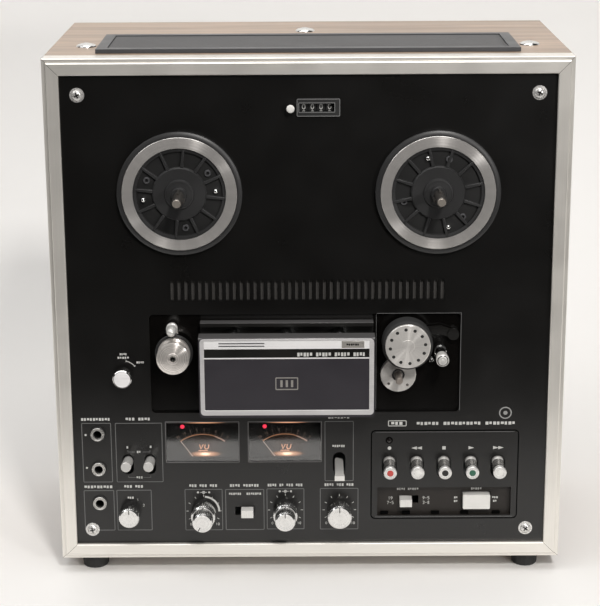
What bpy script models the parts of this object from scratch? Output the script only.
"""Reel-to-reel tape deck, modelled at rest as separate closed solids, one object for each sub-part.

Design sizes are in millimetres in the deck's own directions: x across from the middle (right is plus),
y behind the trim frame's front face, z above the cabinet's underside. The world is in metres, with its
origin under the middle of the deck, on the surface that the feet stand on.
"""

import math

import bmesh
import bpy
from mathutils import Vector

MM = 0.001

# Cabinet, trim and feet
WIDTH = 410.0
HEIGHT = 414.0
DEPTH = 222.0
WALL = 12.0
TRIM_DEPTH = 21.0
TRIM_RAIL = 12.8
TRIM_WALL = 2.3
TRIM_FLANGE = 3.6
FOOT_HEIGHT = 13.0
FOOT_X, FOOT_FRONT_Y, FOOT_REAR_Y = 179.5, 21.0, 200.0
GAP = 0.3

# Front panel and the plates behind it
PANEL_FRONT = 4.0
PANEL_BACK = 6.5
PANEL_EDGE = WALL + GAP
BAY = (-128.0, 121.0, 126.0, 209.0)
BAY_FLOOR = 7.0
PAN_BACK = 9.5
CHASSIS_FRONT = 46.0
CHASSIS_BACK = 48.0
REAR_COVER_FRONT = 214.0
REAR_COVER_BACK = 216.5

# Reel drive: tables, spindles and motors share two axes
REEL_X, REEL_Z = 101.0, 308.3
REEL_SEAT_Y = -2.0
SPINDLE_TIP_Y = -36.0
SPINDLE_RADIUS = 3.9
SHAFT_RADIUS = 4.0

# Tape path inside the bay
CAPSTAN_X, CAPSTAN_Z, CAPSTAN_RADIUS, CAPSTAN_TIP_Y = 71.4, 158.0, 2.9, -14.0
PINCH_X, PINCH_Z, PINCH_RADIUS = 77.8, 187.4, 20.2
PINCH_PIVOT_X, PINCH_PIVOT_Z = 115.0, 192.0
GUIDE_X, GUIDE_Z, GUIDE_RADIUS = -108.4, 177.8, 13.1
SUPPLY_POST_X, SUPPLY_POST_Z = -109.6, 198.6
TAKEUP_PIVOT_X, TAKEUP_PIVOT_Z = 97.9, 170.0
TAKEUP_POST_X, TAKEUP_POST_Z = 104.6, 179.4
COVER = (-87.5, 51.5, 132.0, 198.0)
COVER_FRONT_Y = -25.0
COVER_HINGE_Y, COVER_HINGE_Z = 1.0, 133.5
HEAD_X = (-60.0, -18.0, 24.0)
HEAD_HALF_WIDTH = (6.5, 8.0, 8.0)
MOTOR_PULLEY_X, MOTOR_PULLEY_Z = -20.0, 158.0

# Counter
WHEEL_X = (-3.7, 3.0, 9.7, 16.4)
WHEEL_Y, WHEEL_Z, WHEEL_RADIUS = 16.0, 375.3, 8.6
COUNTER_X = (-9.2, 24.5)
RESET_X, RESET_Z = -13.9, 375.3

# Lower panel
JACKS = ((-172.4, 108.4), (-172.4, 78.2), (-172.4, 48.4))
JACK_BORE = 3.5
JACK_RADIUS = 5.7
LEVER_PIVOT_Y, LEVER_Z = 22.0, 82.0
REC_MODE_X = (-148.3, -130.2)
MONITOR_X = 23.9
MIC_ATT = (-147.9, 39.5)
MIC_VOLUME = (-87.3, 40.6)
LINE_IN_VOLUME = (-20.2, 41.2)
LINE_OUT_VOLUME = (24.1, 41.1)
TAPE_SLOT = (-61.5, -45.7, 37.0, 44.2)
TAPE_SLIDER = (-56.4, -46.6, 37.4, 43.8)
METER_X, METER_WINDOW = (-87.4, -20.3), (59.0, 34.2)
METER_Z = 100.9
NEEDLE_Y, NEEDLE_Z, NEEDLE_LENGTH, NEEDLE_REST = 8.2, 75.5, 30.0, 36.0
PAUSE_X, PAUSE_Z = -149.8, 158.8

# Transport controls
BEZEL = (50.7, 169.3, 33.8, 109.4)
BEZEL_FRONT = 3.8
RECESS = (55.2, 164.8, 35.9, 60.6)
RECESS_FLOOR = 8.5
KEY_X = (64.9, 87.2, 109.3, 131.4, 153.5)
KEY_NAMES = ("record", "rewind", "stop", "play", "fast_forward")
KEY_Z, KEY_PIVOT_Y, KEY_TIP_Y = 79.5, 24.0, -13.5
KEY_SLOT = (6.0, 69.0, 88.2, 5.9)
SPEED_SLOT = (73.3, 89.3, 44.8, 51.6)
SPEED_SLIDER = (73.6, 83.5, 45.1, 51.3)
POWER_BUTTON = (125.6, 147.8, 41.6, 54.0)

# Parts on top
VENT = (-166.0, 166.0, 29.0, 118.0)
VENT_HEIGHT = 3.4
VENT_RIM = 8.5

FRONT = -(DEPTH + SPINDLE_TIP_Y) / 2


def at(x, y, z):
    """The world point in metres of a deck point in millimetres."""
    return Vector((x, y + FRONT, z + FOOT_HEIGHT)) * MM


def look(name, colour, roughness, metallic=0.0):
    """A material with one colour."""
    material = bpy.data.materials.new(name)
    material.use_nodes = True
    shader = material.node_tree.nodes["Principled BSDF"]
    shader.inputs["Base Color"].default_value = (*colour, 1.0)
    shader.inputs["Roughness"].default_value = roughness
    shader.inputs["Metallic"].default_value = metallic
    material.diffuse_color = (*colour, 1.0)
    return material


def bridge(bm, first, second):
    """Faces between two rings of vertices, or a ring and a point. Two points on the axis need none."""
    if len(first) == len(second) == 1:
        return
    if len(first) == 1 or len(second) == 1:
        point, ring = (first[0], second) if len(first) == 1 else (second[0], first)
        for a, b in zip(ring, ring[1:] + ring[:1]):
            bm.faces.new((point, a, b))
        return
    for i in range(len(first)):
        j = (i + 1) % len(first)
        bm.faces.new((first[i], first[j], second[j], second[i]))


def add_turned(bm, profile, x, z, segments=18):
    """Turns (radius, y) points about the line through x, z. A profile that ends off the axis has a bore."""
    rings = []
    for radius, y in profile:
        angles = [2 * math.pi * i / segments for i in range(segments if radius else 1)]
        points = [(x + radius * math.cos(a), y, z + radius * math.sin(a)) for a in angles]
        rings.append([bm.verts.new(point) for point in points])
    for first, second in zip(rings, rings[1:]):
        bridge(bm, first, second)
    if profile[0][0] and profile[-1][0]:
        bridge(bm, rings[-1], rings[0])


def add_prism(bm, outline, low, high, axis="Y"):
    """Extrudes an outline along one axis. Its points lie on the other two, in X, Y, Z order."""
    place = {
        "X": lambda u, v, w: (w, u, v),
        "Y": lambda u, v, w: (u, w, v),
        "Z": lambda u, v, w: (u, v, w),
    }[axis]
    rings = [[bm.verts.new(place(u, v, w)) for u, v in outline] for w in (low, high)]
    bridge(bm, *rings)
    for ring in rings:
        bm.faces.new(ring)


def add_box(bm, x0, x1, y0, y1, z0, z1):
    add_prism(bm, rectangle(x0, x1, z0, z1), y0, y1)


def rectangle(u0, u1, v0, v1):
    return [(u0, v0), (u1, v0), (u1, v1), (u0, v1)]


def rounded(u0, u1, v0, v1, radius, steps=4):
    """A rectangle with round corners."""
    corners = ((u1, v1, 0), (u0, v1, 90), (u0, v0, 180), (u1, v0, 270))
    points = []
    for u, v, start in corners:
        cu = u - radius if u == u1 else u + radius
        cv = v - radius if v == v1 else v + radius
        for i in range(steps + 1):
            a = math.radians(start + 90 * i / steps)
            points.append((cu + radius * math.cos(a), cv + radius * math.sin(a)))
    return points


def circle(u, v, radius, segments=18):
    return [
        (u + radius * math.cos(2 * math.pi * i / segments), v + radius * math.sin(2 * math.pi * i / segments))
        for i in range(segments)
    ]


def strap(points, half_width, steps=6):
    """The outline of a flat bar that follows points, with a round end at each."""
    outline = []
    path = [Vector(p) for p in points]
    for line in (path, path[::-1]):
        for i, here in enumerate(line[:-1]):
            along = (line[i + 1] - here).normalized()
            across = Vector((along.y, -along.x)) * half_width
            if i:
                before = (here - line[i - 1]).normalized()
                across = (across + Vector((before.y, -before.x)) * half_width) / 2
            outline.append(tuple(here + across))
        end = line[-1]
        along = (end - line[-2]).normalized()
        start = math.atan2(-along.x, along.y)
        for i in range(steps + 1):
            a = start + math.pi * i / steps
            outline.append((end.x + half_width * math.cos(a), end.y + half_width * math.sin(a)))
    return outline[1:]


def add_mitred_frame(bm, profile, width, z0, z1):
    """Carries a closed (inset, y) profile round a rectangle, with mitred corners."""
    rings = []
    for inset, y in profile:
        half = width / 2 - inset
        corners = ((-half, z0 + inset), (half, z0 + inset), (half, z1 - inset), (-half, z1 - inset))
        rings.append([bm.verts.new((x, y, z)) for x, z in corners])
    for first, second in zip(rings, rings[1:] + rings[:1]):
        bridge(bm, first, second)


def finish(bm, name, material, pivot=(0, 0, 0), tilt=0.0, helper=False):
    """Makes an object in deck millimetres, with its origin at pivot, turned by tilt degrees about x."""
    bmesh.ops.translate(bm, vec=-Vector(pivot), verts=bm.verts)
    bmesh.ops.scale(bm, vec=(MM, MM, MM), verts=bm.verts)
    bmesh.ops.recalc_face_normals(bm, faces=bm.faces)
    mesh = bpy.data.meshes.new(name)
    bm.to_mesh(mesh)
    bm.free()
    mesh.shade_smooth()
    mesh.set_sharp_from_angle(angle=math.radians(35))
    thing = bpy.data.objects.new(name, mesh)
    bpy.context.scene.collection.objects.link(thing)
    thing.location = at(*pivot)
    thing.rotation_euler = (math.radians(tilt), 0, 0)
    if helper:
        thing.hide_render = True
        thing.display_type = "WIRE"
    else:
        mesh.materials.append(material)
    return thing


def combine(target, operation, shapes):
    """Joins or cuts shapes, a list of (function, arguments) that each add one solid."""
    bm = bmesh.new()
    for build, *arguments in shapes:
        build(bm, *arguments)
    helper = finish(bm, f"{target.name}_{operation.lower()}_{len(target.modifiers)}", None, helper=True)
    modifier = target.modifiers.new(operation.title(), "BOOLEAN")
    modifier.operation = operation
    modifier.solver = "EXACT"
    modifier.object = helper
    return target


def single(name, material, build, *arguments, pivot=(0, 0, 0), tilt=0.0):
    """An object made of one solid."""
    bm = bmesh.new()
    build(bm, *arguments)
    return finish(bm, name, material, pivot, tilt)


def hole(x, z, radius, y0, y1, segments=16):
    """A round cutter or peg along y, for combine."""
    return (add_prism, circle(x, z, radius, segments), y0, y1)


def block(x0, x1, z0, z1, y0, y1):
    """A square cutter or block, for combine."""
    return (add_box, x0, x1, y0, y1, z0, z1)


def knob_profile(radius, front, back, shaft_radius, shaft_end, bore=0.0):
    """A knob with a chamfered face and its shaft; with a bore it is the outer one of a pair."""
    body = [
        (radius - 0.8, front), (radius, front + 0.8), (radius + 0.3, back), (shaft_radius, back),
        (shaft_radius, shaft_end),
    ]
    return [(bore, front), *body, (bore, shaft_end)]


def make_looks():
    return {
        "wood": look("walnut_veneer", (0.58, 0.45, 0.33), 0.45),
        "trim": look("champagne_aluminium", (0.78, 0.74, 0.68), 0.32, 1.0),
        "panel": look("black_panel", (0.018, 0.017, 0.016), 0.5),
        "steel": look("zinc_plated_steel", (0.55, 0.56, 0.56), 0.42, 1.0),
        "board": look("rear_cover_black", (0.03, 0.03, 0.03), 0.65),
        "rubber": look("black_rubber", (0.02, 0.02, 0.02), 0.75),
        "grille": look("grey_grille", (0.18, 0.18, 0.17), 0.5),
        "motor": look("motor_grey", (0.22, 0.22, 0.23), 0.5, 1.0),
        "table": look("reel_table_black", (0.03, 0.03, 0.03), 0.5),
        "satin": look("satin_aluminium", (0.75, 0.73, 0.7), 0.28, 1.0),
        "chrome": look("chrome", (0.86, 0.86, 0.86), 0.1, 1.0),
        "cover": look("head_cover_grey", (0.05, 0.045, 0.052), 0.45),
        "head": look("head_metal", (0.6, 0.6, 0.6), 0.2, 1.0),
        "white": look("white_plastic", (0.8, 0.8, 0.78), 0.4),
        "dial": look("meter_black", (0.015, 0.014, 0.014), 0.35),
        "needle": look("needle_white", (0.8, 0.76, 0.74), 0.4),
        "wheel": look("counter_black", (0.02, 0.02, 0.02), 0.5),
        "brass": look("brass", (0.7, 0.55, 0.3), 0.3, 1.0),
    }


def make_cabinet(looks):
    tongue = TRIM_WALL + GAP
    profile = [
        (0, TRIM_DEPTH + GAP), (0, DEPTH), (WALL, DEPTH), (WALL, PANEL_FRONT),
        (tongue, PANEL_FRONT), (tongue, TRIM_DEPTH + GAP),
    ]
    cabinet = single("cabinet", looks["wood"], add_mitred_frame, profile, WIDTH, 0, HEIGHT)
    x0, x1, y0, y1 = VENT
    inset = VENT_RIM + 2
    opening = block(x0 + inset, x1 - inset, HEIGHT - 20, HEIGHT + 5, y0 + inset, y1 - inset)
    combine(cabinet, "DIFFERENCE", [opening])


def make_trim_frame(looks):
    step, edge = 3.0, 0.6
    profile = [
        (0, TRIM_DEPTH), (0, step), (0.5, step - 0.5), (3.0, step - 0.5), (3.3, edge), (3.9, 0),
        (TRIM_RAIL - edge, 0), (TRIM_RAIL, edge), (TRIM_RAIL, TRIM_FLANGE),
        (TRIM_WALL, TRIM_FLANGE), (TRIM_WALL, TRIM_DEPTH),
    ]
    single("trim_frame", looks["trim"], add_mitred_frame, profile, WIDTH, 0, HEIGHT)


def make_feet(looks):
    bottom, top = -FOOT_HEIGHT, -GAP
    places = {
        "foot_front_left": (-FOOT_X, FOOT_FRONT_Y), "foot_front_right": (FOOT_X, FOOT_FRONT_Y),
        "foot_rear_left": (-FOOT_X, FOOT_REAR_Y), "foot_rear_right": (FOOT_X, FOOT_REAR_Y),
    }
    for name, (x, y) in places.items():
        bm = bmesh.new()
        rings = []
        for radius, z in ((9.6, bottom), (10.6, bottom + 1.2), (11.6, top)):
            rings.append([bm.verts.new((x + u, y + v, z)) for u, v in circle(0, 0, radius, 16)])
        for first, second in zip(rings, rings[1:]):
            bridge(bm, first, second)
        bm.faces.new(rings[0])
        bm.faces.new(rings[-1])
        finish(bm, name, looks["rubber"], (x, y, top))


def meter_holes():
    half_x, half_z = METER_WINDOW[0] / 2, METER_WINDOW[1] / 2
    return [block(x - half_x, x + half_x, METER_Z - half_z, METER_Z + half_z, 0, 20) for x in METER_X]


def lever_slots():
    """Slots in the front panel for the two record levers and the monitor lever."""
    slots = []
    for x, across, up in ((REC_MODE_X[0], 4.6, 8.6), (REC_MODE_X[1], 4.6, 8.6), (MONITOR_X, 5.1, 9.6)):
        outline = rounded(x - across, x + across, LEVER_Z - up, LEVER_Z + up, across - 0.1)
        slots.append((add_prism, outline, 0, 20))
    return slots


def vent_slots():
    """Forty upright slots in one row under the reels."""
    count, width, z0, z1 = 40, 3.0, 220.8, 236.8
    first, last = -108.6, 106.0
    pitch = (last - first) / (count - 1)
    middles = [first + i * pitch for i in range(count)]
    return [block(x - width / 2, x + width / 2, z0, z1, 0, 20) for x in middles]


def make_front_panel(looks):
    edge, bottom, top = WIDTH / 2 - PANEL_EDGE, PANEL_EDGE, HEIGHT - PANEL_EDGE
    panel = single("front_panel", looks["panel"], add_box, -edge, edge, PANEL_FRONT, PANEL_BACK, bottom, top)
    x0, x1, z0, z1 = BAY
    combine(panel, "UNION", [block(x0 - 2, x1 + 2, z0 - 2, z1 + 2, PANEL_FRONT + 1, PAN_BACK)])
    combine(panel, "DIFFERENCE", [(add_prism, rounded(x0, x1, z0, z1, 3.5), 0, BAY_FLOOR)])
    combine(panel, "DIFFERENCE", vent_slots())
    x0, x1, z0, z1 = BEZEL
    knobs = (MIC_ATT, MIC_VOLUME, LINE_IN_VOLUME, LINE_OUT_VOLUME)
    cuts = [
        (add_prism, rounded(x0 - 0.8, x1 + 0.8, z0 - 0.8, z1 + 0.8, 3.6), 0, 20),
        block(COUNTER_X[0] + 0.4, COUNTER_X[1] - 2.3, WHEEL_Z - 5.6, WHEEL_Z + 5.6, 0, 20),
        block(*TAPE_SLOT, 0, 20),
        hole(RESET_X, RESET_Z, 2.2, 0, 20, 16),
        hole(PAUSE_X, PAUSE_Z, 3.4, 0, 20, 16),
        hole(CAPSTAN_X, CAPSTAN_Z, 12.0, 0, 20),
        hole(PINCH_PIVOT_X, PINCH_PIVOT_Z, 2.6, 0, 20, 16),
        hole(TAKEUP_PIVOT_X, TAKEUP_PIVOT_Z, 2.0, 0, 20, 16),
        hole(GUIDE_X, GUIDE_Z, 2.6, 0, 20, 16),
        *[hole(side * REEL_X, REEL_Z, 11.0, 0, 20) for side in (-1, 1)],
        *[hole(x, z, JACK_RADIUS + 0.4, 0, 20) for x, z in JACKS],
        *[hole(x, z, 5.2, 0, 20) for x, z in knobs],
        *meter_holes(), *lever_slots(),
    ]
    combine(panel, "DIFFERENCE", cuts)


def make_chassis(looks):
    """A pressed steel tray behind the front panel, open to the front, that the motors hang on."""
    edge, bottom, top = WIDTH / 2 - WALL - 0.5, WALL + 0.5, HEIGHT - WALL - 0.5
    rim_front = PANEL_BACK + 0.5
    tray = (-edge, edge, rim_front, CHASSIS_BACK, bottom, top)
    chassis = single("chassis_plate", looks["steel"], add_box, *tray)
    inside = block(-edge + 1.6, edge - 1.6, bottom + 1.6, top - 1.6, 0, CHASSIS_FRONT)
    combine(chassis, "DIFFERENCE", [inside])
    shafts = [hole(side * REEL_X, REEL_Z, 7.0, 40, 60) for side in (-1, 1)]
    combine(chassis, "DIFFERENCE", [*shafts, hole(CAPSTAN_X, CAPSTAN_Z, 8.0, 40, 60)])


def make_rear_cover(looks):
    edge, bottom, top = WIDTH / 2 - PANEL_EDGE, PANEL_EDGE, HEIGHT - PANEL_EDGE
    sheet = (-edge, edge, REAR_COVER_FRONT, REAR_COVER_BACK, bottom, top)
    cover = single("rear_cover", looks["board"], add_box, *sheet)
    inlet = (118.0, 150.0, 40.0, 64.0)
    x0, x1, z0, z1 = inlet
    combine(cover, "UNION", [block(x0 - 3, x1 + 3, z0 - 3, z1 + 3, 198.0, REAR_COVER_BACK - 0.5)])
    slots = [
        block(x, x + 40, z, z + 3.2, 205, 225)
        for x in (-150.0, -95.0, 55.0, 110.0) for z in (250.0, 262.0, 274.0, 286.0, 298.0, 310.0)
    ]
    combine(cover, "DIFFERENCE", [*slots, block(*inlet, 202.0, 225)])


def make_top_vent(looks):
    """A raised rim with louvre slots inside it, over the opening in the cabinet's top."""
    x0, x1, y0, y1 = VENT
    low, high = HEIGHT + GAP, HEIGHT + VENT_HEIGHT
    vent = single("top_vent_grille", looks["grille"], add_prism, rectangle(x0, x1, y0, y1), low, high, "Z")
    rim = VENT_RIM
    inner = rectangle(x0 + rim, x1 - rim, y0 + rim, y1 - rim)
    combine(vent, "DIFFERENCE", [(add_prism, inner, low + 1.2, high + 1, "Z")])
    columns, rows, bar = 4, 9, 3.2
    width = (x1 - x0 - 2 * rim - 4) / columns
    pitch = (y1 - y0 - 2 * rim - 4) / rows
    slots = []
    for column in range(columns):
        left = x0 + rim + 2 + column * width
        for row in range(rows):
            near = y0 + rim + 2 + row * pitch
            slot = rectangle(left + bar, left + width - bar, near + bar / 2, near + pitch - bar / 2)
            slots.append((add_prism, slot, low - 2, high - 1.6, "Z"))
    combine(vent, "DIFFERENCE", slots)


def make_reel_drive(looks):
    for side, word in ((-1, "supply"), (1, "takeup")):
        x = side * REEL_X
        seat = REEL_SEAT_Y
        profile = [
            (3.2, -8.0), (5.6, -8.0), (6.2, -7.0), (6.2, seat - 1.6), (10.2, seat - 1.4), (10.2, seat + 0.2),
            (20.4, seat + 0.2), (21.4, seat + 1.4), (21.4, seat + 3.6), (35.6, seat + 3.6), (36.2, seat),
            (45.0, seat), (45.8, seat + 1.0), (49.0, seat + 1.6), (49.0, 3.2), (11.6, 3.2), (10.2, 3.6),
            (10.2, 12.0), (SHAFT_RADIUS, 14.0), (SHAFT_RADIUS, 72.0), (0, 72.0), (0, 22.0), (3.2, 22.0),
        ]
        pivot = (x, 0, REEL_Z)
        single(f"{word}_reel_table", looks["table"], add_turned, profile, x, REEL_Z, 32, pivot=pivot)
        r = SPINDLE_RADIUS
        tip = [
            (0, SPINDLE_TIP_Y), (r - 1.1, SPINDLE_TIP_Y), (r, SPINDLE_TIP_Y + 1.4), (r, -8.4),
            (2.7, -8.4), (2.7, 20.0), (0, 20.0),
        ]
        spindle = single(f"{word}_spindle", looks["satin"], add_turned, tip, x, REEL_Z, 14, pivot=pivot)
        for angle in (90, 210, 330):
            combine(spindle, "UNION", [(add_spindle_fin, x, REEL_Z, angle)])
        case = [
            (SHAFT_RADIUS + 0.5, CHASSIS_BACK + GAP), (38.0, CHASSIS_BACK + GAP), (42.0, 54.0), (42.0, 96.0),
            (38.0, 100.0), (12.0, 100.0), (12.0, 104.0), (0, 104.0), (0, 76.0), (SHAFT_RADIUS + 0.5, 76.0),
        ]
        single(f"{word}_reel_motor", looks["motor"], add_turned, case, x, REEL_Z, 20)


def add_spindle_fin(bm, x, z, angle):
    """One of the three fins near a spindle's foot that lock the reel's hub."""
    turn = math.radians(angle)
    along, across = (math.cos(turn), math.sin(turn)), (-math.sin(turn), math.cos(turn))
    outline = []
    for distance, side in ((1.0, -0.8), (5.4, -0.8), (5.4, 0.8), (1.0, 0.8)):
        u = x + along[0] * distance + across[0] * side
        v = z + along[1] * distance + across[1] * side
        outline.append((u, v))
    add_prism(bm, outline, -22.0, -9.0)


def make_tape_path(looks):
    make_capstan(looks)
    make_pinch(looks)
    make_guides(looks)


def make_capstan(looks):
    bearing = [
        (CAPSTAN_RADIUS + 0.4, 2.8), (13.9, 2.8), (14.4, 3.3), (14.4, BAY_FLOOR - GAP),
        (11.4, BAY_FLOOR - GAP), (11.4, 40.0), (CAPSTAN_RADIUS + 0.4, 40.0),
    ]
    single("capstan_bearing", looks["satin"], add_turned, bearing, CAPSTAN_X, CAPSTAN_Z, 20)
    r = CAPSTAN_RADIUS
    flywheel = [
        (0, CAPSTAN_TIP_Y), (r - 0.6, CAPSTAN_TIP_Y), (r, CAPSTAN_TIP_Y + 0.6), (r, 50.0), (9.0, 50.0),
        (9.0, 54.0), (44.0, 54.0), (45.0, 55.0), (45.0, 69.0), (44.0, 70.0), (0, 70.0),
    ]
    single(
        "capstan_flywheel", looks["steel"], add_turned, flywheel, CAPSTAN_X, CAPSTAN_Z, 24,
        pivot=(CAPSTAN_X, 0, CAPSTAN_Z),
    )
    pulley = [
        (0, 52.0), (9.5, 52.0), (9.5, 54.0), (7.5, 55.0), (7.5, 69.0), (9.5, 70.0), (9.5, 72.0), (3.0, 72.0),
        (3.0, 96.0), (0, 96.0),
    ]
    single(
        "motor_pulley", looks["brass"], add_turned, pulley, MOTOR_PULLEY_X, MOTOR_PULLEY_Z, 14,
        pivot=(MOTOR_PULLEY_X, 0, MOTOR_PULLEY_Z),
    )
    case = [
        (3.5, 80.0), (36.0, 80.0), (40.0, 84.0), (40.0, 136.0), (36.0, 140.0), (0, 140.0), (0, 98.0),
        (3.5, 98.0),
    ]
    motor = single("capstan_motor", looks["motor"], add_turned, case, MOTOR_PULLEY_X, MOTOR_PULLEY_Z, 20)
    posts = []
    for angle in (60, 180, 300):
        a = math.radians(angle)
        x, z = MOTOR_PULLEY_X + 31 * math.cos(a), MOTOR_PULLEY_Z + 31 * math.sin(a)
        posts.append(hole(x, z, 3.5, CHASSIS_BACK + GAP, 82.0, 8))
    combine(motor, "UNION", posts)


def make_pinch(looks):
    pivot = (PINCH_PIVOT_X, 0, PINCH_PIVOT_Z)
    bend = [(PINCH_PIVOT_X, PINCH_PIVOT_Z), (104.0, 196.0), (92.0, 194.5), (PINCH_X, PINCH_Z)]
    arm = single("pinch_roller_arm", looks["table"], add_prism, strap(bend, 3.4), 2.2, 4.6, pivot=pivot)
    boss = hole(PINCH_PIVOT_X, PINCH_PIVOT_Z, 4.6, 1.0, 6.2, 14)
    combine(arm, "UNION", [boss, hole(PINCH_X, PINCH_Z, 3.0, -9.0, 3.4, 14)])
    combine(arm, "UNION", [hole(PINCH_PIVOT_X, PINCH_PIVOT_Z, 2.1, 4.0, 30.0, 12)])
    r = PINCH_RADIUS
    roller = [
        (0, -16.0), (17.5, -16.0), (18.0, -15.4), (18.0, -13.4), (19.4, -13.0), (r, -12.2), (r, 0.2),
        (19.4, 1.0), (3.5, 1.0), (3.5, -10.0), (0, -10.0),
    ]
    pivot = (PINCH_X, 0, PINCH_Z)
    single("pinch_roller", looks["rubber"], add_turned, roller, PINCH_X, PINCH_Z, 28, pivot=pivot)


def make_guides(looks):
    pivot = (GUIDE_X, 0, GUIDE_Z)
    link = strap([(GUIDE_X, GUIDE_Z), (SUPPLY_POST_X, SUPPLY_POST_Z)], 4.4)
    arm = single("supply_tension_arm", looks["chrome"], add_prism, link, 3.6, 6.4, pivot=pivot)
    post = [(0, -13.4), (1.6, -13.0), (2.9, -11.8), (3.6, -9.8), (3.85, -7.0), (3.85, 5.0), (0, 5.0)]
    combine(arm, "UNION", [(add_turned, post, SUPPLY_POST_X, SUPPLY_POST_Z, 14)])
    combine(arm, "UNION", [hole(GUIDE_X, GUIDE_Z, 2.1, -10.0, 30.0, 12)])
    r = GUIDE_RADIUS
    roller = [
        (0, -14.6), (1.6, -15.0), (r - 0.6, -15.0), (r, -14.2), (r, -12.6), (r - 1.2, -12.2), (r - 1.2, -3.6),
        (r, -3.0), (r, 0.6), (15.3, 0.8), (15.3, 2.6), (2.5, 2.6), (2.5, -11.0), (0, -11.0),
    ]
    single("supply_guide_roller", looks["satin"], add_turned, roller, GUIDE_X, GUIDE_Z, 20, pivot=pivot)
    pivot = (TAKEUP_PIVOT_X, 0, TAKEUP_PIVOT_Z)
    link = strap([(TAKEUP_PIVOT_X, TAKEUP_PIVOT_Z), (TAKEUP_POST_X, TAKEUP_POST_Z)], 1.9)
    arm = single("takeup_tension_arm", looks["chrome"], add_prism, link, 4.9, 6.5, pivot=pivot)
    post = [
        (0, -28.0), (4.2, -28.0), (4.8, -27.2), (4.8, -23.4), (4.2, -22.8), (4.2, -2.0), (5.0, -1.4),
        (5.0, 5.6), (0, 5.6),
    ]
    combine(arm, "UNION", [(add_turned, post, TAKEUP_POST_X, TAKEUP_POST_Z, 14)])
    combine(arm, "UNION", [hole(TAKEUP_PIVOT_X, TAKEUP_PIVOT_Z, 1.4, 1.6, 30.0, 12)])


def make_head_block(looks):
    x0, x1, z0, z1 = COVER
    shelf_top, shelf_front, back = z1 + 6.0, -4.0, BAY_FLOOR - GAP
    section = [
        (back, z0 + 3), (back, shelf_top), (shelf_front, shelf_top), (shelf_front, shelf_top - 3.0),
        (3.7, shelf_top - 3.0), (3.7, z0 + 3),
    ]
    single("head_housing", looks["trim"], add_prism, section, x0 + 0.5, x1 - 0.5, "X")
    for name, x, half in zip(("erase_head", "record_head", "playback_head"), HEAD_X, HEAD_HALF_WIDTH):
        angles = [math.pi * i / 8 for i in range(9)]
        crown = [(x + half * math.cos(a), 190.0 + 8.6 * math.sin(a)) for a in angles]
        single(name, looks["head"], add_prism, [*crown, (x - half, 166.0), (x + half, 166.0)], -11.4, 3.4)


def make_head_cover(looks):
    """A shell with its front, sides and floor closed, a lip along the top, and a way through for the tape."""
    x0, x1, z0, z1 = COVER
    pivot = (0, COVER_HINGE_Y, COVER_HINGE_Z)
    back, wall, lip_back = 2.0, 2.5, -12.0
    outline = rounded(x0, x1, z0, z1, 3.0)
    cover = single("head_cover", looks["cover"], add_prism, outline, COVER_FRONT_Y, back, pivot=pivot)
    hollow = block(x0 + wall, x1 - wall, z0 + wall, z1 - wall, COVER_FRONT_Y + wall, back + 2)
    combine(cover, "DIFFERENCE", [hollow])
    combine(cover, "DIFFERENCE", [block(x0 - 2, x1 + 2, z1 - 8.0, z1 + 2, lip_back, back + 2)])


def make_counter(looks):
    x0, x1, z = COUNTER_X[0], COUNTER_X[1], WHEEL_Z
    front, rear = PANEL_BACK + 0.5, 29.0
    wheels = (-7.2, 20.0)
    frame = single("counter_frame", looks["wheel"], add_box, x0, x1, front, rear, z - 11.5, z + 11.5)
    combine(frame, "UNION", [block(x0 + 0.8, x1 - 2.7, z - 5.2, z + 5.2, 3.0, front + 1)])
    combine(frame, "UNION", [(add_prism, rounded(x0, x1, z - 7.0, z + 7.0, 1.0, 2), 2.6, PANEL_FRONT - GAP)])
    combine(frame, "DIFFERENCE", [block(x0 + 1.5, x1 - 1.5, z - 10.0, z + 10.0, front + 1.4, rear - 1.5)])
    combine(frame, "DIFFERENCE", [block(*wheels, z - 4.6, z + 4.6, 5.6, front + 2)])
    combine(frame, "DIFFERENCE", [block(*wheels, z - 3.4, z + 3.4, 0, front)])
    axle = circle(WHEEL_Y, z, 1.8, 12)
    combine(frame, "UNION", [(add_prism, axle, x0 + 0.5, x1 - 0.5, "X")])
    half = 3.1
    for i, x in enumerate(WHEEL_X):
        bm = bmesh.new()
        rings = []
        for radius, offset in ((2.2, -half), (WHEEL_RADIUS, -half), (WHEEL_RADIUS, half), (2.2, half)):
            points = circle(WHEEL_Y, WHEEL_Z, radius, 18)
            rings.append([bm.verts.new((x + offset, y, z)) for y, z in points])
        for first, second in zip(rings, rings[1:] + rings[:1]):
            bridge(bm, first, second)
        finish(bm, f"counter_wheel_{i + 1}", looks["wheel"], (x, WHEEL_Y, WHEEL_Z))
    button = [(0, -3.2), (3.0, -3.2), (3.4, -2.6), (3.4, 0.6), (1.8, 0.6), (1.8, 30.0), (0, 30.0)]
    pivot = (RESET_X, 0, RESET_Z)
    single("counter_reset_button", looks["chrome"], add_turned, button, RESET_X, RESET_Z, 14, pivot=pivot)


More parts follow.
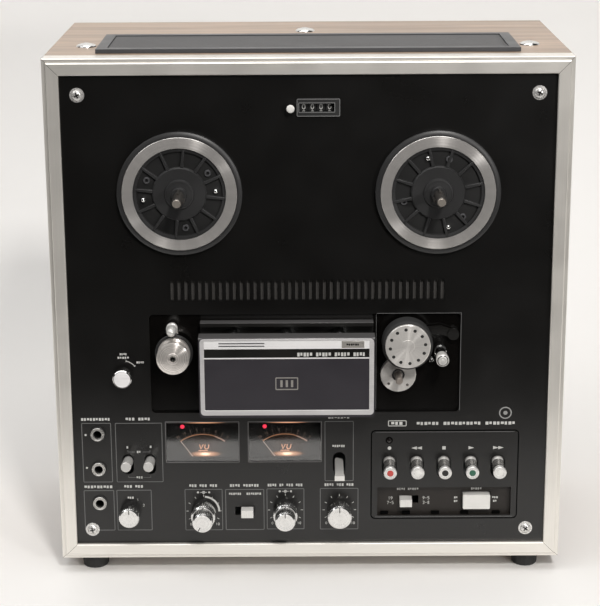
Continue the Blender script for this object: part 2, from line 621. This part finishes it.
def make_meters(looks):
    for word, x in (("left", METER_X[0]), ("right", METER_X[1])):
        half = METER_WINDOW[0] / 2
        meter = single(
            f"vu_meter_{word}", looks["dial"], add_box,
            x - half - 1.5, x + half + 1.5, PANEL_BACK + GAP, 32.0,
            METER_Z - 31.0, METER_Z + METER_WINDOW[1] / 2 + 1.5,
        )
        pocket = block(x - half, x + half, METER_Z - 29.5, METER_Z + METER_WINDOW[1] / 2, 0, 9.6)
        combine(meter, "DIFFERENCE", [pocket])
        lean = math.radians(NEEDLE_REST)
        tip = (x - NEEDLE_LENGTH * math.sin(lean), NEEDLE_Z + NEEDLE_LENGTH * math.cos(lean))
        width = (0.5 * math.cos(lean), 0.5 * math.sin(lean))
        foot = (x, NEEDLE_Z)
        outline = [
            (foot[0] - width[0], foot[1] - width[1]), (foot[0] + width[0], foot[1] + width[1]),
            (tip[0] + width[0] / 2, tip[1] + width[1] / 2), (tip[0] - width[0] / 2, tip[1] - width[1] / 2),
        ]
        pivot = (x, NEEDLE_Y, NEEDLE_Z)
        needle = single(f"vu_needle_{word}", looks["needle"], add_prism, outline, 8.0, 8.5, pivot=pivot)
        combine(needle, "UNION", [hole(x, NEEDLE_Z, 2.2, 7.4, 9.2, 12)])


def make_jack_strip(looks):
    """Three quarter-inch jack sockets on one bracket."""
    x = JACKS[0][0]
    plate = (x - 8, x + 8, 11.0, 13.0, JACKS[-1][1] - 10, JACKS[0][1] + 8)
    strip = single("jack_strip", looks["steel"], add_box, *plate)
    combine(strip, "UNION", [hole(x, z, JACK_RADIUS, 1.4, 34.0) for x, z in JACKS])
    combine(strip, "DIFFERENCE", [hole(x, z, JACK_BORE, -2, 31.0) for x, z in JACKS])


def make_knobs(looks):
    back = PANEL_FRONT - GAP
    outer, inner = knob_profile(9.8, -11.0, back, 4.6, 20.0, 3.1), knob_profile(8.1, -23.0, -11.4, 2.7, 26.0)
    knobs = (
        ("mic_attenuator_knob", MIC_ATT, knob_profile(8.2, -9.8, back, 3.0, 26.0)),
        ("line_out_volume_knob", LINE_OUT_VOLUME, knob_profile(9.7, -14.2, back, 3.0, 26.0)),
        ("mic_volume_outer_knob", MIC_VOLUME, outer), ("mic_volume_inner_knob", MIC_VOLUME, inner),
        ("line_in_volume_outer_knob", LINE_IN_VOLUME, outer),
        ("line_in_volume_inner_knob", LINE_IN_VOLUME, inner),
    )
    for name, (x, z), profile in knobs:
        single(name, looks["chrome"], add_turned, profile, x, z, 18, pivot=(x, 0, z))


def make_levers(looks):
    bat = [
        (0, -17.0), (3.6, -17.0), (4.1, -16.4), (4.1, 8.0), (2.4, 10.0), (2.4, LEVER_PIVOT_Y + 3.0),
        (0, LEVER_PIVOT_Y + 3.0),
    ]
    for word, x in (("left", REC_MODE_X[0]), ("right", REC_MODE_X[1])):
        pivot = (x, LEVER_PIVOT_Y, LEVER_Z)
        name = f"rec_mode_lever_{word}"
        single(name, looks["chrome"], add_turned, bat, x, LEVER_Z, 14, pivot=pivot, tilt=-7.5)
    pivot = (MONITOR_X, LEVER_PIVOT_Y, LEVER_Z)
    half, thick = 3.4, 2.2
    outline = [
        (MONITOR_X - half - 0.6, -17.0), (MONITOR_X + half + 0.6, -17.0), (MONITOR_X + half, -12.0),
        (MONITOR_X + half, 9.0), (MONITOR_X + 2, LEVER_PIVOT_Y + 3), (MONITOR_X - 2, LEVER_PIVOT_Y + 3),
        (MONITOR_X - half, 9.0), (MONITOR_X - half, -12.0),
    ]
    low, high = LEVER_Z - thick, LEVER_Z + thick
    single("monitor_lever", looks["chrome"], add_prism, outline, low, high, "Z", pivot=pivot, tilt=8.0)


def make_transport(looks):
    x0, x1, z0, z1 = BEZEL
    outline = rounded(x0, x1, z0, z1, 2.9)
    bezel = single("transport_bezel", looks["panel"], add_prism, outline, BEZEL_FRONT, PANEL_BACK)
    rx0, rx1, rz0, rz1 = RECESS
    back = RECESS_FLOOR + 2.0
    combine(bezel, "UNION", [block(rx0 - 1.2, rx1 + 1.2, rz0 - 1.2, rz1 + 1.2, BEZEL_FRONT + 1, back)])
    combine(bezel, "DIFFERENCE", [block(*RECESS, 0, RECESS_FLOOR)])
    half, z0, z1, radius = KEY_SLOT
    slots = [(add_prism, rounded(x - half, x + half, z0, z1, radius), 0, 20) for x in KEY_X]
    px0, px1, pz0, pz1 = POWER_BUTTON
    slots += [block(*SPEED_SLOT, 0, 20), block(px0 - 0.8, px1 + 0.8, pz0 - 0.6, pz1 + 0.9, 0, 20)]
    combine(bezel, "DIFFERENCE", slots)
    tip = KEY_TIP_Y
    key = [
        (0, tip), (4.9, tip), (5.3, tip + 0.5), (5.3, tip + 2.4), (3.8, tip + 2.8), (3.8, tip + 5.0),
        (5.0, tip + 5.4), (5.0, 9.0), (2.6, 11.0), (2.6, KEY_PIVOT_Y + 3.0), (0, KEY_PIVOT_Y + 3.0),
    ]
    for word, x in zip(KEY_NAMES, KEY_X):
        pivot = (x, KEY_PIVOT_Y, KEY_Z)
        single(f"{word}_key", looks["chrome"], add_turned, key, x, KEY_Z, 14, pivot=pivot)


def make_slides_and_buttons(looks):
    x0, x1, z0, z1 = SPEED_SLIDER
    middle = ((x0 + x1) / 2, 0, (z0 + z1) / 2)
    single("tape_speed_slider", looks["white"], add_box, x0, x1, -1.0, 16.0, z0, z1, pivot=middle)
    x0, x1, z0, z1 = TAPE_SLIDER
    middle = ((x0 + x1) / 2, 0, (z0 + z1) / 2)
    single("tape_select_slider", looks["white"], add_box, x0, x1, -4.0, 16.0, z0, z1, pivot=middle)
    x0, x1, z0, z1 = POWER_BUTTON
    middle = ((x0 + x1) / 2, 0, (z0 + z1) / 2)
    button = rounded(x0, x1, z0, z1, 0.8, 2)
    single("power_button", looks["white"], add_prism, button, 2.6, 18.0, pivot=middle)
    pause = [(0, -8.8), (7.0, -8.8), (7.6, -8.2), (7.6, 0.4), (3.0, 0.4), (3.0, 26.0), (0, 26.0)]
    pivot = (PAUSE_X, 0, PAUSE_Z)
    single("pause_button", looks["chrome"], add_turned, pause, PAUSE_X, PAUSE_Z, 18, pivot=pivot)


def main():
    for thing in list(bpy.data.objects):
        bpy.data.objects.remove(thing, do_unlink=True)
    looks = make_looks()
    make_cabinet(looks)
    make_trim_frame(looks)
    make_feet(looks)
    make_front_panel(looks)
    make_chassis(looks)
    make_rear_cover(looks)
    make_top_vent(looks)
    make_reel_drive(looks)
    make_tape_path(looks)
    make_head_block(looks)
    make_head_cover(looks)
    make_counter(looks)
    make_meters(looks)
    make_jack_strip(looks)
    make_knobs(looks)
    make_levers(looks)
    make_transport(looks)
    make_slides_and_buttons(looks)


main()
